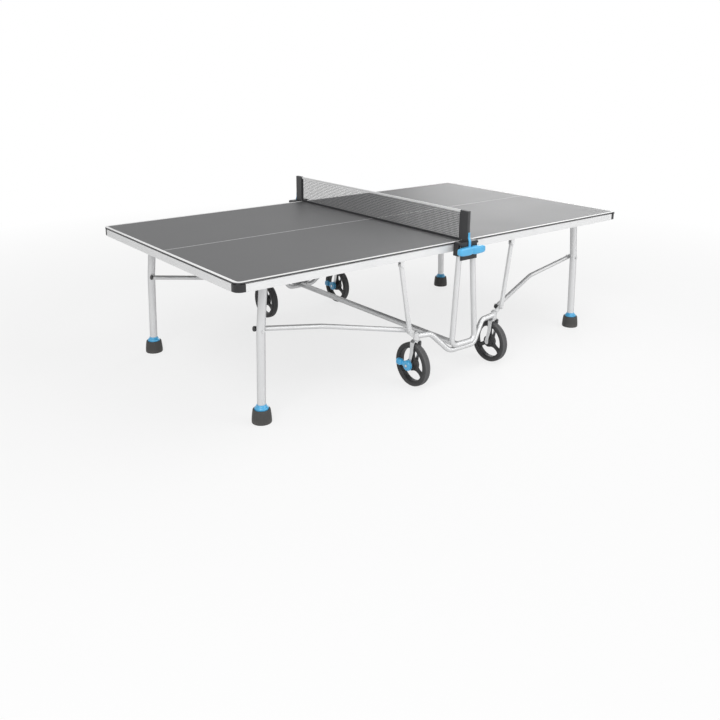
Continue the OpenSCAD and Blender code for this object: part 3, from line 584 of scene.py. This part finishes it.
def wheel_centre(r_out, half_w, reach):
    """Rim and hub turned about the axle, joined by three flared spokes."""
    rim_out, rim_in, rim_w = r_out - 18 * MM, r_out - 30 * MM, half_w - 2 * MM
    hub_r, hub_w, boss = 33 * MM, half_w - 4 * MM, 15 * MM
    rim = soft_profile([
        (rim_in, -rim_w + 5 * MM), (rim_in + 5 * MM, -rim_w), (rim_out, -rim_w), (rim_out, rim_w),
        (rim_in + 5 * MM, rim_w), (rim_in, rim_w - 5 * MM)
    ], 3 * MM)
    half_hub = [(boss, reach), (boss + 0.5 * MM, hub_w + 1 * MM), (boss + 4 * MM, hub_w - 4 * MM),
                (hub_r - 7 * MM, hub_w - 5 * MM), (hub_r - 3 * MM, hub_w), (hub_r, hub_w - 2 * MM)]
    under = [(r, -z) for r, z in half_hub]
    hub = soft_profile([(5.2 * MM, -reach), *under, *half_hub[::-1], (5.2 * MM, reach)], 1.5 * MM)
    spokes = [spoke(a, 22 * MM, rim_in + 6 * MM) for a in (60, 180, 300)]
    return joined([lathe(rim, 96), lathe(hub, 64), *spokes])


def tyre_skin(r_out, half_w):
    """Tyre turned about the axle: a crowned tread with four grooves between two round shoulders."""
    flat_w = half_w - 9 * MM
    z = np.linspace(-flat_w, flat_w, 73)
    place = (z / flat_w + 1) * 2.5
    groove = 1.3 * MM * (np.abs(place - np.round(place)) < 0.085) * (np.abs(z) < 0.95 * flat_w)
    tread = np.stack([r_out - 1.0 * MM * (z / flat_w) ** 2 - groove, z], -1)
    a = np.linspace(0.12, np.pi / 2, 9)
    shoulder = [r_out - 10 * MM + 9 * MM * np.cos(a), flat_w + 9 * MM * np.sin(a) - 0.4 * MM]
    shoulder = np.stack(shoulder, -1)
    wall = np.array([(r_out - 13 * MM, half_w - 0.3 * MM), (r_out - 13.6 * MM, half_w - 1.4 * MM),
                     (r_out - 18 * MM, half_w - 1.6 * MM), (r_out - 19.5 * MM, half_w - 3 * MM)])
    outer = np.concatenate([shoulder, wall])
    return lathe(np.concatenate([outer[::-1] * [1, -1], tread, outer]), 144)


def strap(path, widths, thick, wide, power=6.0):
    """Superellipse section carried along a path, wide one way and thin square to it."""
    path, wide = np.asarray(path, float), np.asarray(wide, float)
    ahead = np.gradient(path, axis=0)
    ahead /= np.linalg.norm(ahead, axis=1)[:, None]
    thin = np.cross(ahead, wide)
    thin /= np.linalg.norm(thin, axis=1)[:, None]
    wide = np.cross(thin, ahead)
    turn = np.linspace(0, 2 * np.pi, 20, endpoint=False)
    c, w = squared(np.cos(turn), power), squared(np.sin(turn), power)
    reach = (np.asarray(widths) / 2)[:, None, None]
    points = (path[:, None] + wide[:, None] * reach * c[None, :, None]
              + thin[:, None] * thick / 2 * w[None, :, None])
    return points.reshape(-1, 3), tube_faces(len(path), len(turn))


def curve(points, steps=12):
    """Catmull-Rom curve: 0.5 (2b + (c - a) t + (2a - 5b + 4c - d) t^2 + (3b - a - 3c + d) t^3)."""
    p = np.asarray(points, float)
    p = np.concatenate([2 * p[:1] - p[1:2], p, 2 * p[-1:] - p[-2:-1]])
    out = []
    for a, b, c, d in zip(p[:-3], p[1:-2], p[2:-1], p[3:]):
        t = np.linspace(0, 1, steps, endpoint=False)[:, None]
        bend, twist = 2 * a - 5 * b + 4 * c - d, 3 * b - a - 3 * c + d
        out.append(0.5 * (2 * b + (c - a) * t + bend * t ** 2 + twist * t ** 3))
    return np.concatenate([*out, p[-2:-1]])


def fork_shape(stem, axle, crown_top, top_z, arm_x, left_end, right_end):
    """Swivel fork: a strap bent over the wheel, a swivel race, a stem, its nut and the axle bolt."""
    bend = 17 * MM
    thick = 4.4 * MM
    top = crown_top - thick / 2
    rise = [(-14, 23.2, 7), (-12.5, 23, 15), (-7, 22.5, 24), (0, 22, 27),
            (21, 19, 22), (48, 12, 20), (80, 5, 24)]
    half = [(-arm_x, y * MM, axle[2] + z * MM, w * MM) for z, y, w in rise]
    half.append((-arm_x, 1.5 * MM, top - bend, 30 * MM))
    for a in (30, 60, 90):
        a = math.radians(a)
        half.append((bend * (1 - math.cos(a)) - arm_x, MM, top - bend + bend * math.sin(a), 33 * MM))
    other = [(-x, y, z, w) for x, y, z, w in half[::-1]]
    line = curve(half + [(0, MM, top, 36 * MM)] + other, 8)
    shells = [strap(line[:, :3] + [stem[0], stem[1], 0], line[:, 3], thick, (0, 1.0, 0))]
    nut_z = top_z - 8 * MM
    race = [(0, -9), (13, -9), (15, -7), (15, 0), (14, 0.3), (6, 0.3)]
    race = [(r * MM, crown_top + z * MM) for r, z in race]
    race += [(6 * MM, top_z - MM), (5 * MM, top_z), (0, top_z)]
    nut = [(5.5 * MM, nut_z), (9.8 * MM, nut_z), (9.8 * MM, top_z - 1.5 * MM),
           (8.7 * MM, top_z - 0.6 * MM), (5.5 * MM, top_z - 0.6 * MM)]
    for profile, turns, closed in ((race, 40, False), (nut, 6, True)):
        points, faces = lathe(profile, turns, closed)
        shells.append((points + [stem[0], stem[1], 0], faces))
    head = [(0, 0), (3, 0), (7.4, 1.5), (8, 3.9), (5, 4)]
    rod = [(r * MM, left_end + z * MM) for r, z in head]
    rod += [(r * MM, right_end - z * MM) for r, z in head[::-1]]
    points, faces = lathe(rod, 32, False)
    shells.append((on_axle(points, [stem[0], axle[1], axle[2]]), faces))
    return joined(shells)


def pedal_shape(axle, outer, inner, tip_y):
    """Brake pedal: a round lobe on the axle, a waist, and a thicker ribbed pad beyond."""
    wide = inner - outer
    hub = [(5.3 * MM, 0), (24 * MM, 0), (28.5 * MM, 5 * MM), (28.5 * MM, wide), (5.3 * MM, wide)]
    hub = soft_profile(hub, 4 * MM)
    points, faces = lathe(hub, 72)
    shells = [(on_axle(points, [outer, axle[1], axle[2]]), faces)]
    mid_x = (outer + inner) / 2
    waist = curve([(mid_x, axle[1] + y * MM, axle[2] + z * MM, w * MM)
                   for y, z, w in ((14, 2, 40), (34, 5, 27), (55, 8, 30))])
    shells.append(strap(waist[:, :3], waist[:, 3], wide * 0.8, (0, 0, 1.0), 4.0))
    pad_y = tip_y - 40 * MM
    pad_lo = (outer - 8 * MM, pad_y, axle[2] - 9 * MM)
    pad_hi = (inner - MM, tip_y, axle[2] + 25 * MM)
    shells.append(rounded_block(pad_lo, pad_hi, 4.0))
    for k in range(4):
        z = axle[2] + (-1.5 + 5.2 * k) * MM
        rib_lo = (outer - 9.2 * MM, pad_y + 9 * MM, z)
        rib_hi = (outer - 6 * MM, tip_y - 7 * MM, z + 2.4 * MM)
        shells.append(rounded_bar(rib_lo, rib_hi, 2.4, 12))
    return joined(shells)


def make_casters():
    """Four casters. The near left and far right ones carry a brake pedal."""
    for side, half in CORNERS:
        name = f"{side}_{half}"
        turning = f"{name}_wheel_body"
        tyre_lo, tyre_hi = low(f"{name}_tyre"), high(f"{name}_tyre")
        axle = (tyre_lo + tyre_hi) / 2
        r_out, half_w = (tyre_hi[2] - tyre_lo[2]) / 2, (tyre_hi[0] - tyre_lo[0]) / 2
        reach = (high(f"{name}_wheel")[0] - low(f"{name}_wheel")[0]) / 2
        points, faces = wheel_centre(r_out, half_w, reach)
        shape = (on_axle(points, axle), faces)
        centre = add_piece(f"{name}_wheel_centre", shape, "wheel_plastic", turning)
        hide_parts(f"{name}_wheel")
        points, faces = tyre_skin(r_out, half_w)
        shape = (on_axle(points, axle), faces)
        tyre = add_piece(f"{name}_tyre_skin", shape, "tyre_rubber", turning, 50)
        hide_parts(f"{name}_tyre")
        fork_lo, fork_hi = low(f"{name}_fork"), high(f"{name}_fork")
        stem = (axle[0], axle[1] - TRAIL)
        shape = fork_shape(stem, axle, CROWN_TOP, fork_hi[2], half_w + 5 * MM,
                           fork_lo[0] - axle[0], fork_hi[0] - axle[0])
        fork = add_piece(f"{name}_fork_steel", shape, "fork_metal", f"{name}_fork_body")
        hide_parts(f"{name}_fork")
    for name in ("near_left", "far_right"):
        lo, hi = low(f"{name}_brake_pedal"), high(f"{name}_brake_pedal")
        shape = pedal_shape(middle(f"{name}_tyre"), lo[0] + 8 * MM, hi[0], hi[1])
        pedal = add_piece(f"{name}_pedal", shape, "blue_plastic", f"{name}_pedal_body")
        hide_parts(f"{name}_brake_pedal")


# ---- feet, caps and handles ----------------------------------------------------------------------

def boot():
    """Foot about its own axis: a boot that narrows upward, a socket in its top and the spindle."""
    outline = curve([(44.5, 0.1), (47.4, 1.0), (48.9, 4.0), (49, 12), (48.4, 24), (46.8, 42),
                     (44.8, 58), (43.8, 64), (42.4, 68.4), (40, 70), (37.4, 69.6), (36.0, 68),
                     (35.6, 66)], 5)
    outline = np.clip(outline, [0, 0], [49, 70])
    inner = [(35.5, 65.8), (8.2, 65.8), (8, 66.5), (8, 95), (6.5, 96.5), (0, 96.5)]
    return lathe(np.concatenate([[(0, 0)], [(44, 0)], outline, inner]) * MM, 96, False)


def collar(height):
    """Collar about the foot's axis: a skirt, a step and a dome that closes round the leg."""
    outline = curve([(33.8, 0.2), (34.9, 1.5), (35, 4), (34.9, 8.5), (33.4, 12), (29.6, 16.2),
                     (26.4, 19.6), (24.8, 22.6), (24.2, 25.2), (22.8, 26.6)], 5)
    outline = np.clip(outline * [MM, height / 27], [0, 0.1 * MM], [35 * MM, height])
    profile = np.concatenate([[(0, 0.1 * MM)], outline, [(0, outline[-1][1])]])
    return lathe(profile + [0, COLLAR_BASE], 80, False)


def make_feet():
    """Boots on the four levelling feet, and a blue collar above each."""
    for half in HALVES:
        domes = []
        for side in SIDES:
            foot = middle(f"{half}_{side}_foot")
            place = [foot[0], foot[1], 0]
            points, faces = boot()
            shape, body = (points + place, faces), f"{half}_{side}_foot_body"
            piece = add_piece(f"{half}_{side}_boot", shape, "foot_rubber", body)
            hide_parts(f"{half}_{side}_foot")
            points, faces = collar(high(f"{half}_foot_collars")[2] - COLLAR_BASE)
            domes.append((points + place, faces))
        domes = add_piece(f"{half}_collar_domes", joined(domes), "blue_plastic", f"{half}_legs")
        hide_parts(f"{half}_foot_collars")


def end_cap(place, ahead, radius, length):
    """Plug over a tube's end: a profile with a rounded rim, turned about the tube's direction."""
    side = np.cross(ahead, [0, 0, 1.0])
    side /= np.linalg.norm(side)
    up = np.cross(side, ahead)
    a = np.linspace(0, np.pi / 2, 7)
    soft = 2.5 * MM
    rim = np.stack([radius - soft + soft * np.cos(a), length - soft + soft * np.sin(a)], -1)
    points, faces = lathe(np.concatenate([[(0, 0), (radius, 0)], rim, [(0, length)]]), 40, False)
    return points @ np.stack([side, up, ahead]) + place, faces


def make_brace_caps():
    """Black plugs on both ends of each brace."""
    for half, flip in (("left", -1), ("right", 1)):
        for side, across in (("near", -1), ("far", 1)):
            mirror = np.array([flip, across, 1.0])
            elbow = np.array([BRACE_BEND[0], BRACE_OUT[1], BRACE_BEND[1]])
            caps = []
            for pivot in (BRACE_OUT, BRACE_IN):
                ahead = np.array(pivot) - elbow
                ahead /= np.linalg.norm(ahead)
                start = np.array(pivot) + ahead * (BRACE_BEYOND - 7 * MM)
                caps.append(end_cap(start * mirror, ahead * mirror, 13.3 * MM, 8 * MM))
            add_piece(f"{half}_{side}_brace_caps", joined(caps), "black_plastic", f"{half}_braces")


def grip(x0, x1, y0, y1, z0, z1):
    """One lobe of a handle: a rounded block whose height shrinks by 0.22 s^2 to its outer end."""
    points, faces = rounded_block((x0, y0, z0), (x1, y1, z1), 4.5, 30, 56)
    outward = np.abs(points[:, 0]) - 0.1 * abs(x1 + x0)
    s = np.clip(outward / max(abs(x0), abs(x1)), 0, 1)
    middle_z = (z0 + z1) / 2
    points[:, 2] = middle_z + (points[:, 2] - middle_z) * (1 - 0.22 * s ** 2)
    return points, faces


def make_handles():
    """Lock handles: two lobes with a waist, a tongue up the post and a lug in the slot."""
    for side in SIDES:
        lo, hi = low(f"{side}_lock_handle"), high(f"{side}_lock_handle")
        sign = -1 if side == "near" else 1
        front = lo[1] if side == "near" else hi[1]
        back = hi[1] if side == "near" else lo[1]
        grip_back = front - sign * 32.5 * MM
        top, base = hi[2] - 70 * MM, lo[2]
        y0, y1 = sorted((front, grip_back))
        shells = [grip(lo[0], -1.2 * MM, y0, y1, base, top),
                  grip(1.2 * MM, hi[0], y0, y1, base, top)]
        waist0, waist1 = sorted((front - sign * 4 * MM, grip_back))
        waist_lo, waist_hi = (-16 * MM, waist0, base + 4 * MM), (16 * MM, waist1, top - 4 * MM)
        shells.append(rounded_block(waist_lo, waist_hi, 6.0))
        lean = curve([(0, 2.2, -14), (0, 2.2, 10), (0, 2.2, 24), (0, -1.5, 33), (0, -4.4, 41),
                      (0, -4.6, 52), (0, -4.4, 69.4)])
        lean = lean * MM * [1, sign, 1] + [0, grip_back, top]
        widths = np.linspace(18, 13, len(lean)) * MM
        shells.append(strap(lean, widths, 3.6 * MM, (1.0, 0, 0), 5.0))
        l0, l1 = sorted((grip_back + sign * 4 * MM, back))
        mid_z = (top + base) / 2
        lug_lo, lug_hi = (-10 * MM, l0, mid_z - 7 * MM), (10 * MM, l1, mid_z + 7 * MM)
        shells.append(rounded_block(lug_lo, lug_hi, 8.0))
        body = f"{side}_handle_body"
        piece = add_piece(f"{side}_handle", joined(shells), "blue_plastic", body)
        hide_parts(f"{side}_lock_handle")


make_net()
make_casters()
make_feet()
make_brace_caps()
make_handles()


# ---- floor, light and camera ---------------------------------------------------------------------

WORLD_LIGHT = 0.36  # what the white world gives as light; to the eye it is 1
FLOOR_GLOW = 0.75  # share of plain white in the floor near the table


def seen_by_eye(tree):
    """1 for camera, glossy and transmission rays, 0 for rays that carry light between surfaces."""
    path = tree.nodes.new("ShaderNodeLightPath")
    total = path.outputs["Is Camera Ray"]
    for name in ("Is Glossy Ray", "Is Transmission Ray"):
        either = tree.nodes.new("ShaderNodeMath")
        either.operation = "MAXIMUM"
        tree.links.new(total, either.inputs[0])
        tree.links.new(path.outputs[name], either.inputs[1])
        total = either.outputs[0]
    return total


def make_world():
    """White to the eye and to reflections, and a softer white for the light it gives."""
    world = bpy.data.worlds.new("studio")
    bpy.context.scene.world = world
    world.use_nodes = True
    tree = world.node_tree
    tree.nodes.clear()
    both = tree.nodes.new("ShaderNodeMixShader")
    tree.links.new(seen_by_eye(tree), both.inputs[0])
    for slot, strength in ((1, WORLD_LIGHT), (2, 1.0)):
        background = tree.nodes.new("ShaderNodeBackground")
        background.inputs["Color"].default_value = (1.0, 1.0, 1.0, 1.0)
        background.inputs["Strength"].default_value = strength
        tree.links.new(background.outputs[0], both.inputs[slot])
    out = tree.nodes.new("ShaderNodeOutputWorld")
    tree.links.new(both.outputs[0], out.inputs[0])


def make_floor():
    """White floor: it takes the shadow near the table and fades into the white world."""
    reach = 60.0
    mesh = bpy.data.meshes.new("floor")
    corners = [(-reach, -reach, 0), (reach, -reach, 0), (reach, reach, 0), (-reach, reach, 0)]
    mesh.from_pydata(corners, [], [(0, 1, 2, 3)])
    floor = bpy.data.objects.new("floor", mesh)
    bpy.context.scene.collection.objects.link(floor)
    mat = Mat("floor_white", (0.92, 0.92, 0.92), 0.9, Specular_IOR_Level=0.1)
    x, y, z = mat.xyz()
    away = (x * x + y * y).sqrt().ramp(2.2, 5.0)
    share = Val(mat, seen_by_eye(mat.tree)) * (FLOOR_GLOW + (1 - FLOOR_GLOW) * away)
    glow = mat.node("ShaderNodeEmission", {}, {"Color": (1.0, 1.0, 1.0, 1.0), "Strength": 1.0})
    both = mat.node("ShaderNodeMixShader", {}, [share, Val(mat, mat.shader.outputs[0]), glow])
    mat.tree.links.new(both.socket, mat.tree.nodes["Material Output"].inputs["Surface"])
    mesh.materials.append(mat.data)


def lamp(name, place, aim, size, power):
    """Square soft lamp at a place, turned towards a point."""
    data = bpy.data.lights.new(name, "AREA")
    data.shape = "SQUARE"
    data.size = size
    data.energy = power
    made = bpy.data.objects.new(name, data)
    bpy.context.scene.collection.objects.link(made)
    made.location = place
    made.rotation_euler = (Vector(aim) - Vector(place)).to_track_quat("-Z", "Y").to_euler()


def make_camera(place, yaw, pitch, roll, lens, shift_y):
    """Camera on a heading, with the roll turned about its line of sight."""
    data = bpy.data.cameras.new("camera")
    data.sensor_width = 36.0
    data.lens = lens
    data.shift_y = shift_y
    data.clip_end = 300.0
    camera = bpy.data.objects.new("camera", data)
    bpy.context.scene.collection.objects.link(camera)
    flat = math.cos(pitch)
    ahead = np.array([flat * math.cos(yaw), flat * math.sin(yaw), math.sin(pitch)])
    right = np.cross(ahead, [0, 0, 1.0])
    right /= np.linalg.norm(right)
    up = np.cross(right, ahead)
    side = math.cos(roll) * right + math.sin(roll) * up
    top = -math.sin(roll) * right + math.cos(roll) * up
    turn = Matrix([[side[i], top[i], -ahead[i]] for i in range(3)])
    camera.matrix_world = Matrix.Translation(place) @ turn.to_4x4()
    bpy.context.scene.camera = camera


make_world()
make_floor()
lamp("key", (-4.0, -3.3, 4.1), (0, 0, 0.5), 3.0, 152.0)
lamp("top", (0.7, -1.0, 3.1), (0.2, -0.1, 0.7), 2.4, 30.0)
lamp("side", (2.6, -5.6, 2.2), (-0.3, 0, 0.4), 3.8, 75.0)
lamp("rear", (6.8, 4.4, 2.3), (0.9, 0.1, 0.7), 3.8, 150.0)
make_camera((-3.04008, -3.75446, 1.72099), yaw=0.9054962509, pitch=-0.2343742627,
            roll=0.0021855908, lens=40.772, shift_y=-0.153596)
bpy.context.scene.view_settings.view_transform = "Standard"
